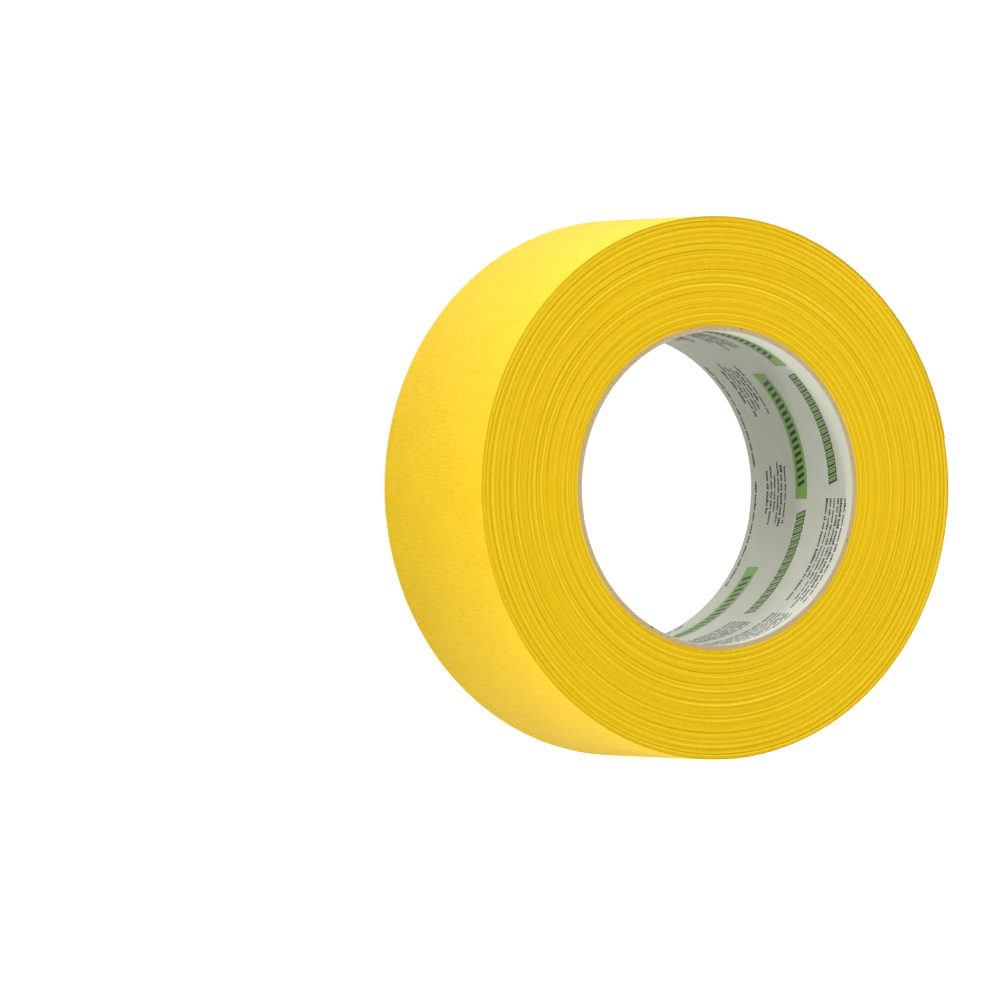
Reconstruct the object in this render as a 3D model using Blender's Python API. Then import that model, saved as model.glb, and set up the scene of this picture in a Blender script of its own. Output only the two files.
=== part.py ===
"""A roll of masking tape on a spiral-wound paperboard core, standing on its rim.

The axis of the roll is Y, +Z is up and the origin is the centre of the core. Angles run in the XZ plane from
+X towards +Z. Every round surface has its facets at the same angles, so that thin layers lie flat on each
other, and a place around the roll is counted in facets. The tape is wound so that its free end comes over the
top and lies on the +X side with its cut edge down, so along the tape, places count down.
"""

import math

import bmesh
import bpy
from mathutils import Vector

MM = 0.001

# Driving dimensions
TAPE_WIDTH = 48.0 * MM
ROLL_RADIUS = 66.0 * MM
BORE_RADIUS = 38.1 * MM
LINER_THICKNESS = 0.14 * MM
BOARD_THICKNESS = 0.36 * MM
TURN_PITCH = 0.16 * MM
ADHESIVE_THICKNESS = 0.03 * MM
LAYER_GAP = 0.02 * MM
COAT_GAP = 0.005 * MM

FACETS = 120
FACET_ANGLE = 2 * math.pi / FACETS
# Half a facet of offset stands the roll on a facet and not on the corner between two
FIRST_CORNER_ANGLE = FACET_ANGLE / 2

# Plies of the core, from the bore outwards. Each is a strip of paper wound in a helix, with a slanted butt seam
BOARD_PLIES = ("core_inner_ply", "core_middle_ply", "core_outer_ply")
STRIP_WIDTH = 125.0 * MM
SEAM_WIDTH = 0.4 * MM
SEAM_STEPS = 24
SEAM_OVERCUT = 0.1 * MM
SEAM_OVERRUN = 1.0 * MM
LINER_SEAM_ANGLE = math.radians(200)
SEAM_STAGGER = math.radians(100)

# The free end of the tape is a chain of short lengths, hinged to each other from the peel line to the cut edge
END_LENGTHS = 10
FACETS_PER_LENGTH = 2
PEEL_LINE = 23
END_GAP = 0.05 * MM

# Colours are linear RGB
LINER_WHITE = (0.56, 0.57, 0.49)
KRAFT = (0.52, 0.36, 0.19)
CREPE_YELLOW = (0.90, 0.58, 0.03)
SIDE_YELLOW = (0.80, 0.53, 0.02)
ADHESIVE_YELLOW = (0.84, 0.60, 0.12)

HALF_WIDTH = TAPE_WIDTH / 2
CUT_EDGE = PEEL_LINE - END_LENGTHS * FACETS_PER_LENGTH
# The free end is on top of the last turn, which starts under the cut edge: its places are one turn further on
END_START = PEEL_LINE - FACETS
CORE_RADIUS = BORE_RADIUS + LINER_THICKNESS + len(BOARD_PLIES) * (LAYER_GAP + BOARD_THICKNESS)
GAP_IN_FACETS = END_GAP / (ROLL_RADIUS * FACET_ANGLE)


def clear_scene():
    for obj in list(bpy.data.objects):
        bpy.data.objects.remove(obj, do_unlink=True)


def make_material(name, colour, roughness):
    material = bpy.data.materials.new(name)
    material.use_nodes = True
    shader = material.node_tree.nodes["Principled BSDF"]
    shader.inputs["Base Color"].default_value = (*colour, 1.0)
    shader.inputs["Roughness"].default_value = roughness
    shader.inputs["Metallic"].default_value = 0.0
    return material


# Places and radii


def steady(radius):
    """The radius as a function of place, for a surface that is round about the axis."""
    return lambda place: radius


def tape_outside(place):
    """The outer radius of the last turn, which grows by one pitch from under the cut edge round to it."""
    turned = (CUT_EDGE - place) / FACETS
    return ROLL_RADIUS - TURN_PITCH * (1 - turned)


def tape_inside(place):
    return tape_outside(place) - TURN_PITCH + LAYER_GAP


def adhesive_outside(place):
    return tape_inside(place) + ADHESIVE_THICKNESS


def backing_inside(place):
    return adhesive_outside(place) + COAT_GAP


def wound_outside(place):
    return tape_outside(place) - TURN_PITCH


def corner_point(radius_at, corner):
    angle = FIRST_CORNER_ANGLE + corner * FACET_ANGLE
    radius = radius_at(corner)
    return Vector((radius * math.cos(angle), 0, radius * math.sin(angle)))


def point_at(radius_at, place):
    """The point on the flat facet at a place, in the middle of the tape's width."""
    corner = math.floor(place)
    return corner_point(radius_at, corner).lerp(corner_point(radius_at, corner + 1), place - corner)


def places_between(start, end):
    """From start down to end, with every facet corner on the way."""
    return [start, *range(math.ceil(start) - 1, math.floor(end), -1), end]


# Solids


def extruded(name, side_faces, material, origin=Vector()):
    """The object that the side faces at mid-width make when they are spread over the width of the tape."""
    grown = bmesh.ops.extrude_face_region(side_faces, geom=side_faces.faces[:])
    far_side = [item for item in grown["geom"] if isinstance(item, bmesh.types.BMVert)]
    bmesh.ops.translate(side_faces, verts=side_faces.verts[:], vec=Vector((0, -HALF_WIDTH, 0)) - origin)
    bmesh.ops.translate(side_faces, verts=far_side, vec=(0, TAPE_WIDTH, 0))
    bmesh.ops.recalc_face_normals(side_faces, faces=side_faces.faces[:])
    mesh = bpy.data.meshes.new(name)
    side_faces.to_mesh(mesh)
    side_faces.free()
    mesh.shade_smooth()
    mesh.set_sharp_from_angle(angle=math.radians(30))
    mesh.materials.append(material)
    obj = bpy.data.objects.new(name, mesh)
    bpy.context.scene.collection.objects.link(obj)
    return obj


def make_ring(name, inside, outside, material):
    """A closed ring. Where the outside is a spiral, a step joins its two ends."""
    shape = bmesh.new()
    inner = [shape.verts.new(corner_point(inside, CUT_EDGE - n)) for n in range(FACETS)]
    outer = [shape.verts.new(corner_point(outside, CUT_EDGE - n)) for n in range(FACETS)]
    for n in range(FACETS - 1):
        shape.faces.new((inner[n], outer[n], outer[n + 1], inner[n + 1]))
    last_face = [inner[-1], outer[-1], outer[0], inner[0]]
    end_point = corner_point(outside, CUT_EDGE - FACETS)
    if (end_point - outer[0].co).length > LAYER_GAP:
        last_face.insert(2, shape.verts.new(end_point))
    shape.faces.new(last_face)
    return extruded(name, shape, material)


def make_band(name, inside, outside, start, end, material, origin=Vector()):
    """A curved strip from one place to another, a little short of both so that it clears its neighbours."""
    shape = bmesh.new()
    places = places_between(start - GAP_IN_FACETS, end + GAP_IN_FACETS)
    inner = [shape.verts.new(point_at(inside, place)) for place in places]
    outer = [shape.verts.new(point_at(outside, place)) for place in places]
    for n in range(len(places) - 1):
        shape.faces.new((inner[n], outer[n], outer[n + 1], inner[n + 1]))
    return extruded(name, shape, material, origin)


def make_seam_cutter(ply, inner_radius, outer_radius, seam_angle):
    """A twisted slab that follows the butt seam of a ply across the core."""
    middle_radius = (inner_radius + outer_radius) / 2
    helix_angle = math.asin(STRIP_WIDTH / (2 * math.pi * middle_radius))
    half_angle = SEAM_WIDTH / math.sin(helix_angle) / middle_radius / 2
    radii = (inner_radius * math.cos(FACET_ANGLE / 2) - SEAM_OVERCUT, outer_radius + SEAM_OVERCUT)
    shape = bmesh.new()
    sections = []
    for step in range(SEAM_STEPS + 1):
        y = (HALF_WIDTH + SEAM_OVERRUN) * (2 * step / SEAM_STEPS - 1)
        angle = seam_angle + y / math.tan(helix_angle) / middle_radius
        sides = ((radii[0], -half_angle), (radii[1], -half_angle), (radii[1], half_angle), (radii[0], half_angle))
        section = []
        for radius, offset in sides:
            at = angle + offset
            section.append(shape.verts.new((radius * math.cos(at), y, radius * math.sin(at))))
        sections.append(section)
    for near, far in zip(sections, sections[1:]):
        for n in range(4):
            shape.faces.new((near[n], near[n - 1], far[n - 1], far[n]))
    shape.faces.new(sections[0])
    shape.faces.new(reversed(sections[-1]))
    bmesh.ops.recalc_face_normals(shape, faces=shape.faces[:])
    mesh = bpy.data.meshes.new(ply.name + "_seam")
    shape.to_mesh(mesh)
    shape.free()
    cutter = bpy.data.objects.new(mesh.name, mesh)
    bpy.context.scene.collection.objects.link(cutter)
    cutter.hide_render = True
    cutter.display_type = "WIRE"
    return cutter


def make_ply(name, inner_radius, thickness, seam_angle, material):
    outer_radius = inner_radius + thickness
    ply = make_ring(name, steady(inner_radius), steady(outer_radius), material)
    seam = ply.modifiers.new("Seam", "BOOLEAN")
    seam.operation = "DIFFERENCE"
    seam.solver = "EXACT"
    seam.object = make_seam_cutter(ply, inner_radius, outer_radius, seam_angle)
    return ply


# The object


def make_core():
    liner = make_material("liner", LINER_WHITE, 0.55)
    kraft = make_material("kraft", KRAFT, 0.85)
    make_ply("core_liner", BORE_RADIUS, LINER_THICKNESS, LINER_SEAM_ANGLE, liner)
    radius = BORE_RADIUS + LINER_THICKNESS + LAYER_GAP
    for count, name in enumerate(BOARD_PLIES, start=1):
        make_ply(name, radius, BOARD_THICKNESS, LINER_SEAM_ANGLE + count * SEAM_STAGGER, kraft)
        radius += BOARD_THICKNESS + LAYER_GAP


def make_winding(backing):
    side = make_material("tape_side", SIDE_YELLOW, 0.6)
    first_inside = CORE_RADIUS + LAYER_GAP
    wound_inside = first_inside + TURN_PITCH
    first_outside = wound_inside - LAYER_GAP
    make_band("tape_first_turn", steady(first_inside), steady(first_outside), FACETS, 0, side)
    make_ring("tape_wound_turns", steady(wound_inside), wound_outside, side)
    make_band("tape_last_turn", tape_inside, tape_outside, CUT_EDGE, END_START, backing)


def make_free_end(backing):
    """The lengths of the free end. The axis of each is at its upper edge, along the outside of the tape."""
    adhesive = make_material("adhesive", ADHESIVE_YELLOW, 0.25)
    hinge_before = None
    for count in range(1, END_LENGTHS + 1):
        start = END_START - (count - 1) * FACETS_PER_LENGTH
        end = start - FACETS_PER_LENGTH
        axis_point = point_at(tape_outside, start)
        hinge = bpy.data.objects.new(f"tape_end_hinge_{count:02}", None)
        bpy.context.scene.collection.objects.link(hinge)
        hinge.location = axis_point
        if hinge_before:
            hinge.location = axis_point - point_at(tape_outside, start + FACETS_PER_LENGTH)
            hinge.parent = hinge_before
        layers = (
            ("backing", backing_inside, tape_outside, backing),
            ("adhesive", tape_inside, adhesive_outside, adhesive),
        )
        for layer, inside, outside, material in layers:
            name = f"tape_end_{layer}_{count:02}"
            make_band(name, inside, outside, start, end, material, axis_point).parent = hinge
        hinge_before = hinge


def main():
    clear_scene()
    backing = make_material("backing", CREPE_YELLOW, 0.5)
    make_core()
    make_winding(backing)
    make_free_end(backing)


main()
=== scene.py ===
"""A roll of masking tape that stands on its rim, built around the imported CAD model.

The axis of the roll is Y and +Z is up; angles run from +X towards +Z. Lengths are in metres. The tape is
one long spiral, so a place on it is a number of turns from its inner end. The free end is the part of the
tape past the last whole turn, which is hinged in ten lengths.
"""

import itertools
import math
from typing import NamedTuple

import bmesh
import bpy
import numpy as np
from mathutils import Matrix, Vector


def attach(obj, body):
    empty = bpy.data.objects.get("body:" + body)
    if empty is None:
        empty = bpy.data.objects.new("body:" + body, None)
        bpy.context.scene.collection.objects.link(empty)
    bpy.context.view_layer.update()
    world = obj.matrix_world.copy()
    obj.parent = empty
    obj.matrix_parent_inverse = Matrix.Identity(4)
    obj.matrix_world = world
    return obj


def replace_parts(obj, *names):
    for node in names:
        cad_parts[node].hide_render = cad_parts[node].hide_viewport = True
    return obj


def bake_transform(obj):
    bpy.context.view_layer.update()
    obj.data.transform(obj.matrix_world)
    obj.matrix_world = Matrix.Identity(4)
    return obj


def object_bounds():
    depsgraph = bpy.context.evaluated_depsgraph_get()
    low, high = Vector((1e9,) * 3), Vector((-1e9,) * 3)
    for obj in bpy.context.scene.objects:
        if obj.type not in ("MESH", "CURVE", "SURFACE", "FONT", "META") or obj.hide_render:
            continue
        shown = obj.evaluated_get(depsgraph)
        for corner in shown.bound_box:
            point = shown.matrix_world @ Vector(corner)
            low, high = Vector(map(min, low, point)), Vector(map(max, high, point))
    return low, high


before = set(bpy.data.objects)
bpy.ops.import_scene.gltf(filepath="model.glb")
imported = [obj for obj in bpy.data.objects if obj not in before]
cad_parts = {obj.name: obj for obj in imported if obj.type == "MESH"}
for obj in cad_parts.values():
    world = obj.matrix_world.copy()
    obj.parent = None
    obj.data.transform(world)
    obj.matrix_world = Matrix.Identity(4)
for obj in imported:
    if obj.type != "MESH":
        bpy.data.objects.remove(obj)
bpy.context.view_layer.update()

MM = 0.001

# The CAD model's driving dimensions
TAPE_WIDTH = 48.0 * MM
ROLL_RADIUS = 66.0 * MM
BORE_RADIUS = 38.1 * MM
LINER_THICKNESS = 0.14 * MM
BOARD_THICKNESS = 0.36 * MM
ADHESIVE_THICKNESS = 0.03 * MM
LAYER_GAP = 0.02 * MM
COAT_GAP = 0.005 * MM
BOARD_PLIES = ("core_inner_ply", "core_middle_ply", "core_outer_ply")
STRIP_WIDTH = 125.0 * MM
SEAM_WIDTH = 0.4 * MM
LINER_SEAM_ANGLE = math.radians(200)
PEEL_ANGLE = math.radians(70.5)
END_ANGLE = math.radians(60)
END_LENGTHS = 10

# The winding
HALF_WIDTH = TAPE_WIDTH / 2
FULL_TURN = 2 * math.pi
CORE_RADIUS = BORE_RADIUS + LINER_THICKNESS + len(BOARD_PLIES) * (LAYER_GAP + BOARD_THICKNESS)
FIRST_INSIDE = CORE_RADIUS + LAYER_GAP
MIDDLE_TURN = 96
LAST_TURN = 164
END_START = LAST_TURN + 1
CUT_EDGE = END_START + END_ANGLE / FULL_TURN
LENGTH_IN_TURNS = END_ANGLE / FULL_TURN / END_LENGTHS
TURN_PITCH = (ROLL_RADIUS - FIRST_INSIDE) / (CUT_EDGE + 1)

# Rings on the side faces where a few turns have slipped along the axis: radius and depth in mm
SLIPPED_RINGS = (
    (39.5, 0.10),
    (41.2, 0.07),
    (43.2, 0.04),
    (45.0, 0.08),
    (47.8, 0.10),
    (50.7, 0.12),
    (51.7, 0.12),
    (53.2, 0.13),
    (55.0, 0.07),
    (56.3, 0.05),
    (57.8, 0.14),
    (59.5, 0.08),
    (60.9, 0.05),
    (63.2, 0.13),
    (64.7, 0.13),
)
# Fainter rings lie between them, deeper or prouder by up to this many mm
FAINT_RINGS = 40
FAINT_DEPTH = 0.07
# The depths of all the rings are scaled by this
RING_STRENGTH = 0.53
RING_WIDTH = 0.17 * MM
# A ring drifts in and out, and fades, on its way around. Both follow noise along a circle of this radius, in
# cells of noise, and the circle of each ring is a step past the one before
RING_DRIFT = 0.38 * MM
RING_NOISE_RADIUS = 1.7
RING_NOISE_STEP = 7.5
# Each ring has a thin lip beside it, of turns that stand proud
LIP_WIDTH = 0.10 * MM
LIP_DISTANCE = 0.36 * MM
LIP_SHARE = 0.55
# Uneven winding everywhere else: length in turns and amount
SLIP_WAVES = (
    (0.7, 0.030 * MM),
    (1.9, 0.044 * MM),
    (4.7, 0.040 * MM),
)
TURN_GROOVE = 0.012 * MM
# Relief is measured against the average over some turns; it is 1 at this depth. On the side faces it paints
# shade where turns lie deep and a highlight where they stand proud
RELIEF_TURNS = 13
RELIEF_DEPTH = 0.075 * MM
# The grooves between the turns have this much relief added, which only paints shade along them on the side
# faces
GROOVE_PAINTED_SHADE = 0.3

# Crepe: crinkles run across the width of the tape. Size along the tape, size across it and height
CRINKLES = (
    (6.0 * MM, 14.0 * MM, 0.020 * MM),
    (1.1 * MM, 7.0 * MM, 0.018 * MM),
    (0.6 * MM, 3.5 * MM, 0.016 * MM),
)
UNDER_END_SINK = 0.05 * MM
CUT_RAGGEDNESS = 0.25 * MM
CUT_TOOTH_WIDTH = 1.5 * MM

# Mesh density
WOUND_COLUMNS = 240
CREPE_COLUMNS = 1800
CREPE_ROWS = 37
LINER_COLUMNS = 360
LINER_ROWS = 49

# The liner is a little buckled, and worn at its rims. The cells of noise are counted along a radius
LINER_BUCKLE = 0.012 * MM
BUCKLE_CELLS = 6
BUCKLE_LENGTH = 9 * MM
RIM_WEAR = 0.06 * MM
WEAR_CELLS = 50
WEAR_POWER = 8

# The print inside the core is in rows around the bore. A pattern repeats along each row, from its own start
ROW_PITCH = 14.2 * MM
FIRST_ROW = 2.6 * MM
ROW_STARTS = (-2.1 * MM, 34.8 * MM, 86.9 * MM, -39.2 * MM)
PATTERN_LENGTH = 201.4 * MM
PRINT_ZERO_ANGLE = math.radians(100)
# Blocks of lines in the pattern: start, length and whether the lines are centred
TEXT_BLOCKS = (
    (71.1 * MM, 30.5 * MM, False),
    (104.1 * MM, 30.0 * MM, False),
    (144.0 * MM, 19.5 * MM, True),
    (174.0 * MM, 17.4 * MM, True),
)
LINES_IN_BLOCK = 6
BOLD_LINES = (1, 5)
SHORT_LINE = 4
LINE_PITCH = 1.68 * MM
LINE_HEIGHT = 0.8 * MM
BOLD_HEIGHT = 1.05 * MM
# The least share of the block's length that a line fills
EVEN_FILL = 0.92
UNEVEN_FILL = 0.55
SHORTEST_WORD = 1.0 * MM
LONGEST_WORD = 4.2 * MM
WORD_GAP = 0.45 * MM
STROKE_WIDTHS = (0.25 * MM, 0.6 * MM)
STROKE_GAP = 0.12 * MM
# Strokes are low or as high as their line, as low and high letters are
STROKE_HEIGHTS = (0.7, 0.7, 1.0)
PRINT_STEP = 1.0 * MM
PRINT_LIFT = 0.015 * MM
INK_STEP = 0.010 * MM
INK_THICKNESS = 0.008 * MM
SEAM_MARGIN = 0.8 * MM
EDGE_MARGIN = 0.3 * MM

# Colours are linear RGB
# On the side face SIDE_BRIGHT is a painted highlight on proud turns and SIDE_DARK is painted shade on deep
# turns and in the grooves; both also colour the dust speckles
SIDE_BRIGHT = (0.91, 0.65, 0.060)
SIDE_YELLOW = (0.74, 0.48, 0.004)
SIDE_DARK = (0.55, 0.33, 0.0)
CREPE_LIGHT = (0.87, 0.58, 0.024)
CREPE_DEEP = (0.74, 0.46, 0.0)
ADHESIVE_YELLOW = (0.80, 0.60, 0.14)
KRAFT_LIGHT = (0.58, 0.45, 0.240)
KRAFT_DARK = (0.40, 0.28, 0.140)
GLUE_BROWN = (0.34, 0.23, 0.090)
LINER_WHITE = (0.58, 0.59, 0.50)
LINER_GREY = (0.50, 0.51, 0.43)
INK_GREEN = (0.17, 0.37, 0.045)
INK_DARK = (0.014, 0.013, 0.009)
FLOOR_LIGHT = (0.80, 0.80, 0.80)
FLOOR_DARK = (0.78, 0.78, 0.78)

# The studio
SKY_LIGHT = 1.53
GROUND_LIGHT = 0.95
BACKGROUND_WHITE = 1.05
FLOOR_GLOW = 0.85
FLOOR_SIZE = 60
# Softboxes are aimed at the roll: name, place, power and diameter
SOFTBOXES = (
    ("front_right", (0.45, -0.45, 0.20), 0.85, 0.25),
    ("front_left", (-0.30, -0.45, 0.20), 0.40, 0.25),
    ("left", (-1.6, -0.6, 0.8), 0.5, 0.5),
)
# Narrow beams are aimed past the front of the roll, so that their soft edge falls across the tape:
# name, place and power
BEAMS = (
    ("top_beam", (-0.6, -0.2, 1.4), 70.0),
    ("left_beam", (-1.4, -0.5, 0.1), 32.0),
    ("bottom_beam", (-0.6, -0.2, -1.4), 105.0),
)
BEAM_TARGET = (-0.03, -0.11, 0.0)
BEAM_ANGLE = math.radians(10)
BEAM_SOFTNESS = 0.08

# The camera
CAMERA_AZIMUTH = math.radians(-29.6)
CAMERA_DISTANCE = 2.5
CAMERA_ASIDE = 52.9 * MM
CAMERA_DROP = 2.91 * MM
LENS = 371.2


# Noise


def solid_noise(points, seed):
    """Smooth noise in about -1 to 1 at an array of points, one cell of it to a unit of length."""
    random = np.random.default_rng(seed)
    order = random.permutation(256)
    slopes = random.normal(size=(256, 3))
    slopes /= np.linalg.norm(slopes, axis=1, keepdims=True)
    corner = np.floor(points).astype(int)
    within = points - corner
    ease = within**3 * (within * (within * 6 - 15) + 10)
    total = np.zeros(points.shape[:-1])
    for step in itertools.product((0, 1), repeat=3):
        x, y, z = np.moveaxis((corner + step) % 256, -1, 0)
        slope = slopes[order[(order[(order[x] + y) % 256] + z) % 256]]
        weight = np.prod(np.where(np.array(step) == 1, ease, 1 - ease), axis=-1)
        total += weight * np.sum(slope * (within - step), axis=-1)
    return 1.5 * total


def noise_at(seed, *coordinates):
    """Noise over up to three coordinates that broadcast together."""
    padded = (*coordinates, 0.5, 0.5)[:3]
    return solid_noise(np.stack(np.broadcast_arrays(*padded), axis=-1).astype(float), seed)


# The spiral


def polar(radius, angle, y):
    """Points at a distance from the axis of the roll."""
    return np.stack(np.broadcast_arrays(radius * np.cos(angle), y, radius * np.sin(angle)), axis=-1)


def inside_radius(turns):
    return FIRST_INSIDE + TURN_PITCH * turns


def outside_radius(turns):
    return inside_radius(turns) + TURN_PITCH


def first_inside(turns):
    """The first turn lies all round on the core."""
    return np.full(turns.shape, FIRST_INSIDE)


def first_outside(turns):
    return outside_radius(turns) - LAYER_GAP


def last_inside(turns):
    return inside_radius(turns) + LAYER_GAP


def adhesive_outside(turns):
    return last_inside(turns) + ADHESIVE_THICKNESS


def backing_inside(turns):
    return adhesive_outside(turns) + COAT_GAP


def winding_angle(turns):
    return PEEL_ANGLE - FULL_TURN * turns


def length_along(turns):
    """The length of tape up to a place."""
    return FULL_TURN * (FIRST_INSIDE + TURN_PITCH * turns / 2) * turns


def ring_slip(turns, count, ring_radius, depth):
    """How far one ring moves the turns near it towards the back of the roll."""
    angle = winding_angle(turns)
    around = (RING_NOISE_RADIUS * np.cos(angle), RING_NOISE_RADIUS * np.sin(angle), RING_NOISE_STEP * count)
    drift = RING_DRIFT * noise_at(8, *around)
    strength = RING_STRENGTH * np.clip(0.65 + 1.3 * noise_at(9, *around), 0, 1.1)
    width = RING_WIDTH * (1.2 + 0.7 * noise_at(7, *around))
    distance = inside_radius(turns) - ring_radius - drift
    hollow = np.exp(-((distance / width) ** 2))
    lip = np.exp(-(((distance - LIP_DISTANCE) / LIP_WIDTH) ** 2))
    return depth * strength * (hollow - LIP_SHARE * lip)


def wind_tape():
    """Places all along the tape, how far it has slipped towards the back of the roll, and its relief."""
    turns = np.arange(-WOUND_COLUMNS, (CUT_EDGE + 1) * WOUND_COLUMNS) / WOUND_COLUMNS
    slipped = np.zeros(turns.shape)
    for seed, (length, amount) in enumerate(SLIP_WAVES):
        slipped += amount * noise_at(seed, turns / length)
    random = np.random.default_rng(4)
    faint_radii = random.uniform(FIRST_INSIDE, ROLL_RADIUS, FAINT_RINGS) / MM
    faint_depths = random.uniform(-FAINT_DEPTH, FAINT_DEPTH, FAINT_RINGS)
    rings = [*SLIPPED_RINGS, *zip(faint_radii, faint_depths)]
    for count, (ring_radius, depth) in enumerate(rings):
        slipped += ring_slip(turns, count, ring_radius * MM, depth * MM)
    averaged = RELIEF_TURNS * WOUND_COLUMNS
    average = np.convolve(slipped, np.full(averaged, 1 / averaged), mode="same")
    return turns, slipped, (slipped - average) / RELIEF_DEPTH


PLACES, SLIP, RELIEF = wind_tape()


def slip(turns):
    return np.interp(turns, PLACES, SLIP)


def relief(turns):
    """How much further a turn has slipped than the turns around it, in about -1 to 1."""
    return np.interp(turns, PLACES, RELIEF)


def crepe_height(turns, y):
    along = length_along(turns)
    height = 0
    for seed, (length, width, amount) in enumerate(CRINKLES, start=10):
        height = height + amount * noise_at(seed, along / length, y / width)
    return height


# Meshes


def make_piece(name, points, faces, materials, face_materials=None, attributes=None):
    """A smooth mesh object with outward faces. The attributes are one array of numbers or vectors each."""
    mesh = bpy.data.meshes.new(name)
    mesh.from_pydata(np.asarray(points).reshape(-1, 3).tolist(), [], faces)
    for material in materials:
        mesh.materials.append(material)
    if face_materials is not None:
        mesh.polygons.foreach_set("material_index", face_materials)
    for label, values in (attributes or {}).items():
        is_vector = values.ndim == 2
        kind, field = ("FLOAT_VECTOR", "vector") if is_vector else ("FLOAT", "value")
        attribute = mesh.attributes.new(label, kind, "POINT")
        attribute.data.foreach_set(field, values.astype(np.float32).ravel())
    shape = bmesh.new()
    shape.from_mesh(mesh)
    bmesh.ops.recalc_face_normals(shape, faces=shape.faces[:])
    shape.to_mesh(mesh)
    shape.free()
    mesh.shade_smooth()
    mesh.set_sharp_from_angle(angle=math.radians(50))
    obj = bpy.data.objects.new(name, mesh)
    bpy.context.scene.collection.objects.link(obj)
    return obj


def sweep_faces(columns, loop, first=0):
    """The faces of a closed loop of points that is swept along a number of columns, and its two end caps."""
    index = first + np.arange(columns * loop).reshape(columns, loop)
    here, ahead = index[:-1], index[1:]
    sides = np.stack([here, np.roll(here, -1, 1), np.roll(ahead, -1, 1), ahead], axis=-1)
    return [*sides.reshape(-1, 4).tolist(), index[0].tolist(), index[-1].tolist()]


def tape_attributes(turns, y, depth):
    """What the tape's materials need: each point's place on the flat tape and its depth on a side face,
    which the side material paints as shade or highlight.
    """
    flat_place = np.stack(np.broadcast_arrays(length_along(turns), y, inside_radius(turns)), axis=-1)
    return {"tape_place": flat_place.reshape(-1, 3), "relief": np.broadcast_to(depth, y.shape).ravel()}


def make_tape_layer(name, start, end, inside, outside, rows, materials, sink=0.0, raggedness=0.0):
    """A stretch of one layer of the tape. The materials are for its outside, cut sides and inside."""
    columns = max(2, round((end - start) * CREPE_COLUMNS) + 1)
    across = np.concatenate([np.linspace(-HALF_WIDTH, HALF_WIDTH, rows), (HALF_WIDTH, -HALF_WIDTH)])
    turns, y = np.meshgrid(np.linspace(start, end, columns), across, indexing="ij")
    radius = np.where(np.arange(rows + 2) < rows, outside(turns), inside(turns))
    if rows > 2:
        radius[:, :rows] += crepe_height(turns, y)[:, :rows] - sink * under_free_end(turns[:, :rows])
    cut = raggedness * (0.5 + noise_at(20, y / CUT_TOOTH_WIDTH) / 2) / (FULL_TURN * ROLL_RADIUS)
    place = turns - cut * (turns - start) / (end - start)
    points = polar(radius, winding_angle(place), y + slip(turns))
    attributes = tape_attributes(turns, y, -np.sign(y) * relief(turns))
    face_materials = np.concatenate([np.tile([0] * (rows - 1) + [1, 2, 1], columns - 1), [1, 1]])
    return make_piece(name, points, sweep_faces(columns, rows + 2), materials, face_materials, attributes)


def under_free_end(turns):
    """1 for the start of the last turn, which the free end lies on, falling to 0 past the cut edge."""
    past_cut_edge = (turns - (CUT_EDGE - 1)) / LENGTH_IN_TURNS
    ease = np.clip(1 - past_cut_edge, 0, 1)
    return ease * ease * (3 - 2 * ease)


def make_wound_turns(name, first, last, material):
    """Whole turns as one solid. On both side faces each turn is a ridge between two grooves."""
    steps = (last - first) * WOUND_COLUMNS
    grooves = first + np.arange(steps + WOUND_COLUMNS + 1) / WOUND_COLUMNS
    turns = grooves[: steps + 1]
    groove_slip = (slip(grooves) + slip(grooves - 1)) / 2
    groove_relief = (relief(grooves) + relief(grooves - 1)) / 2
    points, attributes = [], []
    for side in (-1, 1):
        y = side * HALF_WIDTH
        groove_y = y + groove_slip - side * TURN_GROOVE
        # The grooves get extra painted shade on top of their relief
        groove_depth = GROOVE_PAINTED_SHADE - side * groove_relief
        points.append(polar(inside_radius(grooves), winding_angle(grooves), groove_y))
        attributes.append(tape_attributes(grooves, np.full(grooves.shape, y), groove_depth))
        points.append(polar(inside_radius(turns + 0.5), winding_angle(turns), y + slip(turns)))
        attributes.append(tape_attributes(turns, np.full(turns.shape, y), -side * relief(turns)))
    line_ends = np.cumsum([len(line) for line in points])
    front_groove, front_ridge, back_groove, back_ridge = np.split(np.arange(line_ends[-1]), line_ends[:-1])
    faces = []
    for groove, ridge in ((front_groove, front_ridge), (back_groove, back_ridge)):
        next_groove = groove[WOUND_COLUMNS:]
        faces.append(np.stack([groove[:steps], groove[1 : steps + 1], ridge[1:], ridge[:-1]], axis=-1))
        faces.append(np.stack([ridge[:-1], ridge[1:], next_groove[1:], next_groove[:-1]], axis=-1))
    for begin in (0, steps):
        front = front_groove[begin : begin + WOUND_COLUMNS + 1]
        back = back_groove[begin : begin + WOUND_COLUMNS + 1]
        faces.append(np.stack([front[:-1], front[1:], back[1:], back[:-1]], axis=-1))
    faces = np.concatenate(faces).tolist()
    for place in (0, steps):
        front = [front_groove[place], front_ridge[place], front_groove[place + WOUND_COLUMNS]]
        back = [back_groove[place + WOUND_COLUMNS], back_ridge[place], back_groove[place]]
        faces.append([int(index) for index in front + back])
    merged = {label: np.concatenate([part[label] for part in attributes]) for label in attributes[0]}
    return make_piece(name, np.concatenate(points), faces, [material], attributes=merged)


# Materials


def add_node(tree, kind, inputs, **settings):
    """The first live output of a new shader node. Its inputs are constants or the outputs of other nodes."""
    node = tree.nodes.new(kind)
    for label, value in settings.items():
        setattr(node, label, value)
    for label, value in inputs.items():
        socket = node.inputs[label]
        if isinstance(value, bpy.types.NodeSocket):
            tree.links.new(value, socket)
        else:
            socket.default_value = value
    return next(output for output in node.outputs if output.enabled)


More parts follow.
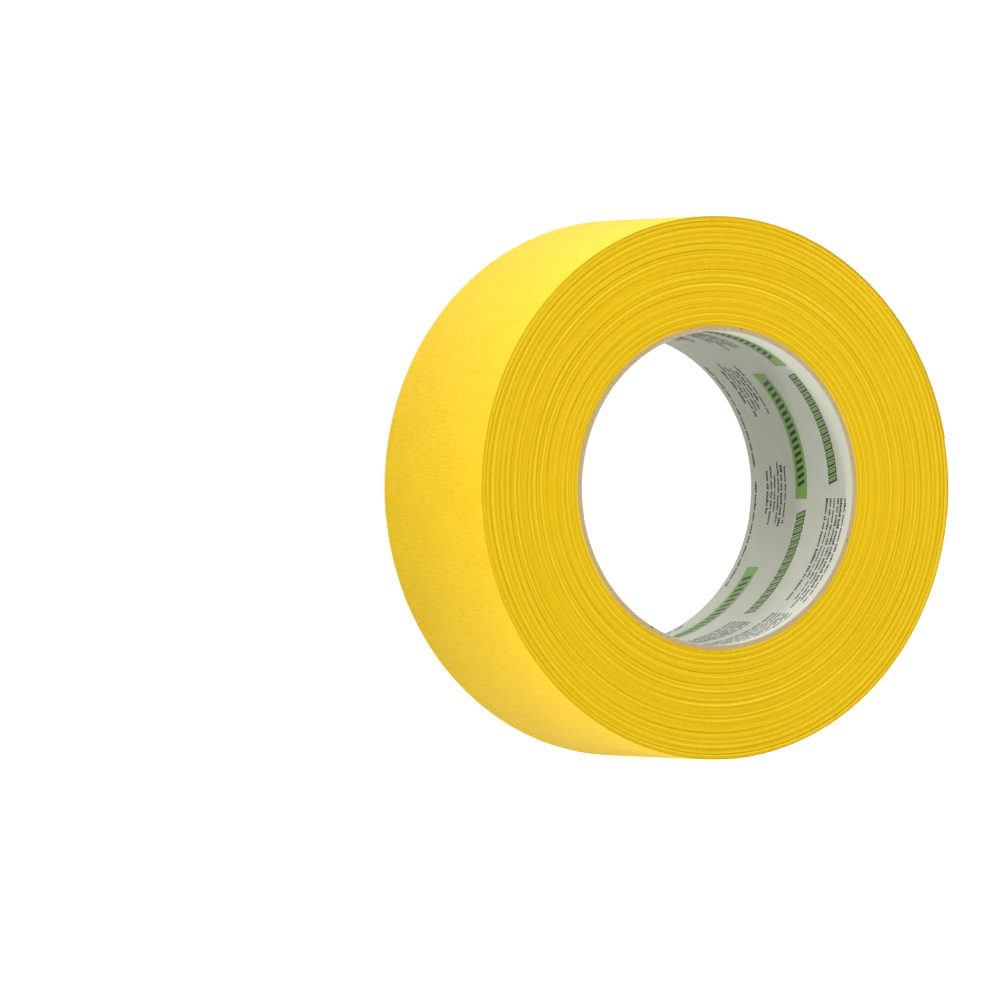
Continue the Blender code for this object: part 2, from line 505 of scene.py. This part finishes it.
def mix_colours(tree, factor, first, second):
    mix = tree.nodes.new("ShaderNodeMix")
    mix.data_type = "RGBA"
    colour_inputs = [socket for socket in mix.inputs if socket.type == "RGBA"]
    factor_input = mix.inputs[0]
    for socket, value in zip((factor_input, *colour_inputs), (factor, first, second)):
        if isinstance(value, bpy.types.NodeSocket):
            tree.links.new(value, socket)
        elif socket.type == "RGBA":
            socket.default_value = (*value, 1.0)
        else:
            socket.default_value = value
    return next(output for output in mix.outputs if output.type == "RGBA")


def rescale(tree, value, from_min, from_max, to_min, to_max, smooth=False):
    inputs = {"Value": value, "From Min": from_min, "From Max": from_max, "To Min": to_min, "To Max": to_max}
    interpolation = "SMOOTHSTEP" if smooth else "LINEAR"
    return add_node(tree, "ShaderNodeMapRange", inputs, interpolation_type=interpolation)


def attribute_vector(tree, name):
    node = tree.nodes.new("ShaderNodeAttribute")
    node.attribute_name = name
    return node.outputs["Vector"]


def attribute_number(tree, name):
    node = tree.nodes.new("ShaderNodeAttribute")
    node.attribute_name = name
    return node.outputs["Fac"]


def object_place(tree):
    return tree.nodes.new("ShaderNodeTexCoord").outputs["Object"]


def grain(tree, place, size, detail=2.0, distortion=0.0):
    """Noise with grains of a size, or of a size along each of the three axes."""
    sizes = size if isinstance(size, tuple) else (size, size, size)
    scales = {0: place, 1: [1 / part for part in sizes]}
    stretched = add_node(tree, "ShaderNodeVectorMath", scales, operation="MULTIPLY")
    settings = {"Vector": stretched, "Scale": 1.0, "Detail": detail, "Distortion": distortion}
    return add_node(tree, "ShaderNodeTexNoise", settings)


def new_material(name, roughness, **constants):
    """A material, its node tree and its shader. The constants go straight onto the shader."""
    material = bpy.data.materials.new(name)
    material.use_nodes = True
    shader = material.node_tree.nodes["Principled BSDF"]
    shader.inputs["Roughness"].default_value = roughness
    for label, value in constants.items():
        shader.inputs[label.replace("_", " ")].default_value = value
    return material, material.node_tree, shader


def connect(tree, shader, colour, height=None, distance=0.0, roughness=None):
    tree.links.new(colour, shader.inputs["Base Color"])
    if height is not None:
        bump = add_node(tree, "ShaderNodeBump", {"Height": height, "Strength": 1.0, "Distance": distance})
        tree.links.new(bump, shader.inputs["Normal"])
    if roughness is not None:
        tree.links.new(roughness, shader.inputs["Roughness"])


def make_side_material():
    """The cut edges of many turns of paper. Turns that lie deeper get painted shade, turns that stand proud
    a painted highlight, and dust speckles them all.
    """
    material, tree, shader = new_material("tape_side", 0.55, Specular_IOR_Level=0.05)
    relief = attribute_number(tree, "relief")
    # Painted shade on turns deeper than their neighbours, and a painted highlight on prouder ones
    deep = rescale(tree, relief, 0.0, 1.0, 0.0, 1.0)
    proud = rescale(tree, relief, 0.0, -1.0, 0.0, 1.0)
    colour = mix_colours(tree, deep, SIDE_YELLOW, SIDE_DARK)
    colour = mix_colours(tree, proud, colour, SIDE_BRIGHT)
    dust = grain(tree, object_place(tree), 0.35 * MM)
    colour = mix_colours(tree, rescale(tree, dust, 0.45, 0.8, 0.0, 0.2), colour, SIDE_BRIGHT)
    colour = mix_colours(tree, rescale(tree, dust, 0.5, 0.25, 0.0, 0.2), colour, SIDE_DARK)
    roughness = rescale(tree, dust, 0.3, 0.7, 0.5, 0.65)
    connect(tree, shader, colour, dust, 0.03 * MM, roughness)
    return material


def make_crepe_material():
    """Crepe paper with a release coat: crinkles across the tape, a faint cloudiness and fine fibres."""
    material, tree, shader = new_material("tape_backing", 0.5, Specular_IOR_Level=0.1)
    place = attribute_vector(tree, "tape_place")
    crinkle = grain(tree, place, (0.36 * MM, 3.6 * MM, 1.0), distortion=0.2)
    cloud = grain(tree, place, (9 * MM, 12 * MM, 1.0))
    fibre = grain(tree, place, (0.18 * MM, 0.5 * MM, 1.0))
    colour = mix_colours(tree, rescale(tree, crinkle, 0.45, 0.75, 0.0, 0.75), CREPE_LIGHT, CREPE_DEEP)
    colour = mix_colours(tree, rescale(tree, cloud, 0.35, 0.7, 0.0, 0.25), colour, CREPE_DEEP)
    height = add_node(tree, "ShaderNodeMath", {0: crinkle, 1: fibre}, operation="ADD")
    roughness = rescale(tree, fibre, 0.3, 0.7, 0.42, 0.58)
    connect(tree, shader, colour, height, 0.05 * MM, roughness)
    return material


def make_adhesive_material():
    """A thin rubber adhesive that the yellow paper shows through, with an orange-peel surface."""
    gloss = {"Specular_IOR_Level": 0.35, "Coat_Weight": 0.1, "Coat_Roughness": 0.3}
    material, tree, shader = new_material("adhesive", 0.35, **gloss)
    place = attribute_vector(tree, "tape_place")
    crinkle = grain(tree, place, (0.6 * MM, 4 * MM, 1.0))
    peel = grain(tree, place, (0.8 * MM, 0.8 * MM, 1.0))
    colour = mix_colours(tree, rescale(tree, crinkle, 0.3, 0.7, 0.0, 0.5), ADHESIVE_YELLOW, CREPE_DEEP)
    roughness = rescale(tree, peel, 0.3, 0.7, 0.32, 0.48)
    connect(tree, shader, colour, peel, 0.02 * MM, roughness)
    return material


def depth_in_ply(tree):
    """How far into its ply of the core a point is, from 0 on the inside of the ply to 1 on its outside."""
    no_depth = {0: object_place(tree), 1: (1, 0, 1)}
    flattened = add_node(tree, "ShaderNodeVectorMath", no_depth, operation="MULTIPLY")
    radius = add_node(tree, "ShaderNodeVectorMath", {0: flattened}, operation="LENGTH")
    board_inside = BORE_RADIUS + LINER_THICKNESS + LAYER_GAP / 2
    plies = rescale(tree, radius, board_inside, CORE_RADIUS + LAYER_GAP / 2, 0.0, len(BOARD_PLIES))
    return add_node(tree, "ShaderNodeMath", {0: plies}, operation="FRACT")


def make_kraft_material():
    """Brown board of pressed fibres, with a darker line of glue at the edges of each ply."""
    material, tree, shader = new_material("kraft", 0.85)
    fibre = grain(tree, object_place(tree), (0.5 * MM, 0.12 * MM, 0.5 * MM), detail=4.0)
    cloud = grain(tree, object_place(tree), 3 * MM)
    colour = mix_colours(tree, rescale(tree, fibre, 0.3, 0.7, 0.0, 1.0), KRAFT_LIGHT, KRAFT_DARK)
    colour = mix_colours(tree, rescale(tree, cloud, 0.4, 0.7, 0.0, 0.3), colour, KRAFT_LIGHT)
    depth = depth_in_ply(tree)
    colour = mix_colours(tree, rescale(tree, depth, 0.75, 1.0, 0.0, 0.8), colour, GLUE_BROWN)
    colour = mix_colours(tree, rescale(tree, depth, 0.15, 0.0, 0.0, 0.6), colour, GLUE_BROWN)
    roughness = rescale(tree, cloud, 0.3, 0.7, 0.8, 0.92)
    connect(tree, shader, colour, fibre, 0.05 * MM, roughness)
    return material


def make_liner_material():
    material, tree, shader = new_material("liner", 0.6)
    fibre = grain(tree, object_place(tree), (0.8 * MM, 0.25 * MM, 0.8 * MM), detail=4.0)
    cloud = grain(tree, object_place(tree), 5 * MM)
    colour = mix_colours(tree, rescale(tree, fibre, 0.35, 0.75, 0.0, 0.5), LINER_WHITE, LINER_GREY)
    colour = mix_colours(tree, rescale(tree, cloud, 0.4, 0.7, 0.0, 0.4), colour, LINER_GREY)
    roughness = rescale(tree, fibre, 0.3, 0.7, 0.52, 0.68)
    connect(tree, shader, colour, fibre, 0.02 * MM, roughness)
    return material


def make_ink_material(name, ink, paper_share):
    """Ink that lets a little of the paper through where it is thin."""
    material, tree, shader = new_material(name, 0.45)
    thin = grain(tree, object_place(tree), 0.3 * MM, detail=3.0)
    colour = mix_colours(tree, rescale(tree, thin, 0.45, 0.75, 0.0, paper_share), ink, LINER_WHITE)
    roughness = rescale(tree, thin, 0.3, 0.7, 0.4, 0.55)
    connect(tree, shader, colour, thin, 0.004 * MM, roughness)
    return material


def make_floor_material():
    material, tree, shader = new_material("pale_floor", 0.7)
    cloud = grain(tree, object_place(tree), 0.4)
    colour = mix_colours(tree, rescale(tree, cloud, 0.3, 0.7, 0.0, 1.0), FLOOR_LIGHT, FLOOR_DARK)
    connect(tree, shader, colour)
    shader.inputs["Emission Color"].default_value = (1.0, 1.0, 1.0, 1.0)
    shader.inputs["Emission Strength"].default_value = FLOOR_GLOW
    return material


# The tape


def blended_stretch(count):
    """Where a piece of the free end starts and ends: the middles of the lengths on each side of a hinge."""
    start = END_START + max(0.0, count - 1.5) * LENGTH_IN_TURNS
    end = END_START + (count - 0.5) * LENGTH_IN_TURNS
    return start, CUT_EDGE if count == END_LENGTHS else end


def make_winding(side, backing):
    """The turns that stay on the roll. The last one runs on under the free end, a little lower there."""
    first = make_tape_layer("first_turn", 0, 1, first_inside, first_outside, 2, (side, side, side))
    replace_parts(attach(first, "roll"), "tape_first_turn")
    inner = make_wound_turns("wound_turns_inner", 1, MIDDLE_TURN, side)
    outer = make_wound_turns("wound_turns_outer", MIDDLE_TURN, LAST_TURN, side)
    for piece in (inner, outer):
        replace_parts(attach(piece, "roll"), "tape_wound_turns")
    last = make_tape_layer(
        "last_turn",
        LAST_TURN,
        END_START,
        last_inside,
        outside_radius,
        CREPE_ROWS,
        (backing, side, side),
        sink=UNDER_END_SINK,
    )
    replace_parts(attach(last, "roll"), "tape_last_turn")


def make_free_end(side, backing, adhesive):
    """Each piece spans one hinge, from the middle of one length to the middle of the next."""
    layers = (
        ("backing", backing_inside, outside_radius, CREPE_ROWS, (backing, side, side), "tape_backing"),
        ("adhesive", last_inside, adhesive_outside, 2, (adhesive, adhesive, adhesive), "adhesive"),
    )
    for count in range(1, END_LENGTHS + 1):
        start, end = blended_stretch(count)
        ragged = CUT_RAGGEDNESS if count == END_LENGTHS else 0.0
        for layer, inside, outside, rows, materials, slot in layers:
            name = f"free_end_{layer}_{count:02}"
            piece = make_tape_layer(name, start, end, inside, outside, rows, materials, raggedness=ragged)
            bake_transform(piece)
            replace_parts(piece, f"tape_end_{layer}_{count:02}")


# The core and its print


def helix_angle(radius):
    """The angle between the butt seam of a ply, which is wound in a helix, and the way around the core."""
    return math.asin(STRIP_WIDTH / (FULL_TURN * radius))


def liner_seam(radius, y):
    """Where around the core the seam of the liner is."""
    return LINER_SEAM_ANGLE + y / math.tan(helix_angle(radius)) / radius


def make_liner(liner):
    """The printed paper inside the core, from one edge of its seam around to the other."""
    radius = BORE_RADIUS + LINER_THICKNESS / 2
    half_gap = SEAM_WIDTH / math.sin(helix_angle(radius)) / radius / 2
    share = np.linspace(0, 1, LINER_COLUMNS)[:, None]
    y = np.linspace(-HALF_WIDTH, HALF_WIDTH, LINER_ROWS)[None, :]
    angle = liner_seam(radius, y) + half_gap + share * (FULL_TURN - 2 * half_gap)
    x, z = np.cos(angle), np.sin(angle)
    buckle = LINER_BUCKLE * (1 + noise_at(30, x * BUCKLE_CELLS, y / BUCKLE_LENGTH, z * BUCKLE_CELLS))
    rim_wear = RIM_WEAR * (1 + noise_at(31, x * WEAR_CELLS, z * WEAR_CELLS, np.sign(y) * 3))
    worn_y = y - np.sign(y) * rim_wear * (np.abs(y) / HALF_WIDTH) ** WEAR_POWER
    inner = polar(BORE_RADIUS + buckle, angle, worn_y)
    outer = polar(BORE_RADIUS + LINER_THICKNESS + buckle / 2, angle, worn_y)
    points = np.concatenate([inner, outer[:, ::-1]], axis=1)
    piece = make_piece("liner", points, sweep_faces(LINER_COLUMNS, 2 * LINER_ROWS), [liner])
    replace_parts(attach(piece, "roll"), "core_liner")


def dress_core_board(kraft):
    """The board plies keep their CAD shape and get a new material."""
    for name in BOARD_PLIES:
        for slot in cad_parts[name].material_slots:
            slot.link = "OBJECT"
            slot.material = kraft


class Mark(NamedTuple):
    """A patch of ink. It starts at a place around the bore and a depth from the front, and may slant."""

    ink: str
    level: int
    start: float
    length: float
    depth: float
    height: float
    slant: float = 0.0


# A green bar with slanted dark stripes along its middle
BAR = Mark("green", 0, 0.0, 34.3 * MM, 4.4 * MM, 5.4 * MM)
FIRST_STRIPE = Mark("dark", 1, 2.4 * MM, 0.95 * MM, 5.5 * MM, 3.2 * MM, 1.1 * MM)
STRIPES = 16
STRIPE_PITCH = 1.8 * MM

# A row of slanted dark marks, each with a green middle
FIRST_SLANTED = Mark("dark", 1, 37.0 * MM, 1.75 * MM, 4.4 * MM, 3.9 * MM, 1.0 * MM)
FIRST_MIDDLE = Mark("green", 2, 37.38 * MM, 1.0 * MM, 4.75 * MM, 3.2 * MM, 0.82 * MM)
SLANTED_MARKS = 15
SLANTED_PITCH = 2.0 * MM


def moved(mark, along, deeper):
    return mark._replace(start=mark.start + along, depth=mark.depth + deeper)


def hatched_bar(start, depth):
    stripes = [moved(FIRST_STRIPE, start + count * STRIPE_PITCH, depth) for count in range(STRIPES)]
    return [moved(BAR, start, depth), *stripes]


def slanted_row(start, depth):
    marks = []
    for count in range(SLANTED_MARKS):
        for mark in (FIRST_SLANTED, FIRST_MIDDLE):
            marks.append(moved(mark, start + count * SLANTED_PITCH, depth))
    return marks


def words_in_line(random, start, length, depth, height):
    """Words as runs of plain strokes, which stand for a printed line and hold no letters."""
    marks = []
    at = start
    while at < start + length - SHORTEST_WORD:
        word_end = min(at + random.uniform(SHORTEST_WORD, LONGEST_WORD), start + length)
        while at < word_end:
            stroke = random.uniform(*STROKE_WIDTHS)
            share = random.choice(STROKE_HEIGHTS)
            marks.append(Mark("dark", 1, at, stroke, depth + height * (1 - share), height * share))
            at += stroke + STROKE_GAP
        at += WORD_GAP
    return marks


def text_block(random, start, length, depth, centred):
    marks = []
    for line in range(LINES_IN_BLOCK):
        height = BOLD_HEIGHT if line in BOLD_LINES else LINE_HEIGHT
        least_fill = UNEVEN_FILL if centred or line == SHORT_LINE else EVEN_FILL
        width = length * random.uniform(least_fill, 1.0)
        inset = (length - width) / 2 if centred else 0.0
        marks += words_in_line(random, start + inset, width, depth + line * LINE_PITCH, height)
    return marks


def mark_points(mark):
    """The loops of points of one raised mark."""
    columns = max(2, math.ceil(mark.length / PRINT_STEP) + 1)
    along = mark.start + np.linspace(0, mark.length, columns)[:, None]
    across, lift = np.array([(0, 0), (1, 0), (1, 1), (0, 1)]).T
    y = -HALF_WIDTH + mark.depth + mark.height * across
    angle = PRINT_ZERO_ANGLE - (along + mark.slant * across) / BORE_RADIUS
    radius = BORE_RADIUS - PRINT_LIFT - mark.level * INK_STEP - INK_THICKNESS * lift
    return polar(radius, angle, y)


def is_on_liner(mark):
    """Whether all of a mark is on the liner, clear of the liner's seam and of its far rim."""
    y = -HALF_WIDTH + mark.depth + mark.height * np.array([0, 1])
    angle = PRINT_ZERO_ANGLE - (mark.start + np.array([[0], [mark.length]]) + mark.slant) / BORE_RADIUS
    seam = liner_seam(BORE_RADIUS, y)
    clear = SEAM_MARGIN / BORE_RADIUS
    between_edges = (angle < seam - clear).all() and (angle > seam - FULL_TURN + clear).all()
    return between_edges and mark.depth + mark.height < TAPE_WIDTH - EDGE_MARGIN


def printed_marks():
    """All the marks on the liner. The seam cuts lines short, but a bar or a row is whole or absent."""
    random = np.random.default_rng(5)
    marks = []
    for row, row_start in enumerate(ROW_STARTS):
        depth = FIRST_ROW + row * ROW_PITCH
        for repeat in (-1, 0, 1):
            start = row_start + repeat * PATTERN_LENGTH
            for group in (hatched_bar(start, depth), slanted_row(start, depth)):
                if all(is_on_liner(mark) for mark in group):
                    marks += group
            for block_start, length, centred in TEXT_BLOCKS:
                block = text_block(random, start + block_start, length, depth, centred)
                marks += [mark for mark in block if is_on_liner(mark)]
    return marks


def make_print(inks):
    """One thin raised piece for each ink, with the marks that are printed over others a little higher."""
    marks = printed_marks()
    for ink, material in inks.items():
        points, faces, count = [], [], 0
        for mark in marks:
            if mark.ink == ink:
                loops = mark_points(mark)
                points.append(loops.reshape(-1, 3))
                faces += sweep_faces(len(loops), 4, first=count)
                count += len(points[-1])
        piece = make_piece(f"print_{ink}", np.concatenate(points), faces, [material])
        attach(piece, "roll")


# The studio


def make_floor():
    """A wide pale floor that the roll stands on. The light that it throws back is part of the world's."""
    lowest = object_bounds()[0].z
    bpy.ops.mesh.primitive_grid_add(
        x_subdivisions=8, y_subdivisions=8, size=FLOOR_SIZE, location=(0, 0, lowest)
    )
    floor = bpy.context.object
    floor.name = "floor"
    floor.data.materials.append(make_floor_material())
    floor.visible_diffuse = False
    floor.visible_glossy = False
    floor.visible_shadow = False


def make_world():
    """Soft light from above and, weaker, from below. The camera sees plain white."""
    world = bpy.data.worlds.new("studio")
    bpy.context.scene.world = world
    world.use_nodes = True
    tree = world.node_tree
    background = tree.nodes["Background"]
    background.inputs["Color"].default_value = (1.0, 1.0, 1.0, 1.0)
    direction = tree.nodes.new("ShaderNodeTexCoord").outputs["Generated"]
    upward = add_node(tree, "ShaderNodeSeparateXYZ", {"Vector": direction}).node.outputs["Z"]
    sky = rescale(tree, upward, -0.2, 0.8, 0.0, SKY_LIGHT, smooth=True)
    ground = rescale(tree, upward, -0.8, 0.2, GROUND_LIGHT, 0.0, smooth=True)
    both = add_node(tree, "ShaderNodeMath", {0: sky, 1: ground}, operation="ADD")
    seen = tree.nodes.new("ShaderNodeLightPath").outputs["Is Camera Ray"]
    strength = rescale(tree, seen, 0.0, 1.0, both, BACKGROUND_WHITE)
    tree.links.new(strength, background.inputs["Strength"])


def place_light(light, place, target):
    lamp = bpy.data.objects.new(light.name, light)
    bpy.context.scene.collection.objects.link(lamp)
    lamp.location = place
    lamp.rotation_euler = (Vector(target) - Vector(place)).to_track_quat("-Z", "Y").to_euler()
    lamp.visible_camera = False


def add_softbox(name, place, power, size):
    light = bpy.data.lights.new(name, "AREA")
    light.shape = "DISK"
    light.size = size
    light.energy = power
    place_light(light, place, (0, 0, 0))


def add_beam(name, place, power):
    light = bpy.data.lights.new(name, "SPOT")
    light.energy = power
    light.spot_size = BEAM_ANGLE
    light.spot_blend = 1.0
    light.shadow_soft_size = BEAM_SOFTNESS
    place_light(light, place, BEAM_TARGET)


def make_lights():
    for softbox in SOFTBOXES:
        add_softbox(*softbox)
    for beam in BEAMS:
        add_beam(*beam)


def make_camera():
    data = bpy.data.cameras.new("camera")
    data.lens = LENS
    data.clip_start, data.clip_end = 0.1, 100.0
    camera = bpy.data.objects.new("camera", data)
    bpy.context.scene.collection.objects.link(camera)
    right = Vector((math.cos(CAMERA_AZIMUTH), math.sin(CAMERA_AZIMUTH), 0))
    forward = Vector((-math.sin(CAMERA_AZIMUTH), math.cos(CAMERA_AZIMUTH), 0))
    front = Vector((0, -HALF_WIDTH, -CAMERA_DROP))
    camera.location = front - CAMERA_DISTANCE * forward - CAMERA_ASIDE * right
    camera.rotation_euler = (math.pi / 2, 0, CAMERA_AZIMUTH)
    bpy.context.scene.camera = camera


def main():
    bpy.context.scene.view_settings.view_transform = "Standard"
    side = make_side_material()
    backing = make_crepe_material()
    adhesive = make_adhesive_material()
    kraft = make_kraft_material()
    liner = make_liner_material()
    inks = {
        "green": make_ink_material("ink_green", INK_GREEN, 0.15),
        "dark": make_ink_material("ink_dark", INK_DARK, 0.05),
    }
    make_winding(side, backing)
    make_free_end(side, backing, adhesive)
    make_liner(liner)
    dress_core_board(kraft)
    make_print(inks)
    make_floor()
    make_world()
    make_lights()
    make_camera()


main()
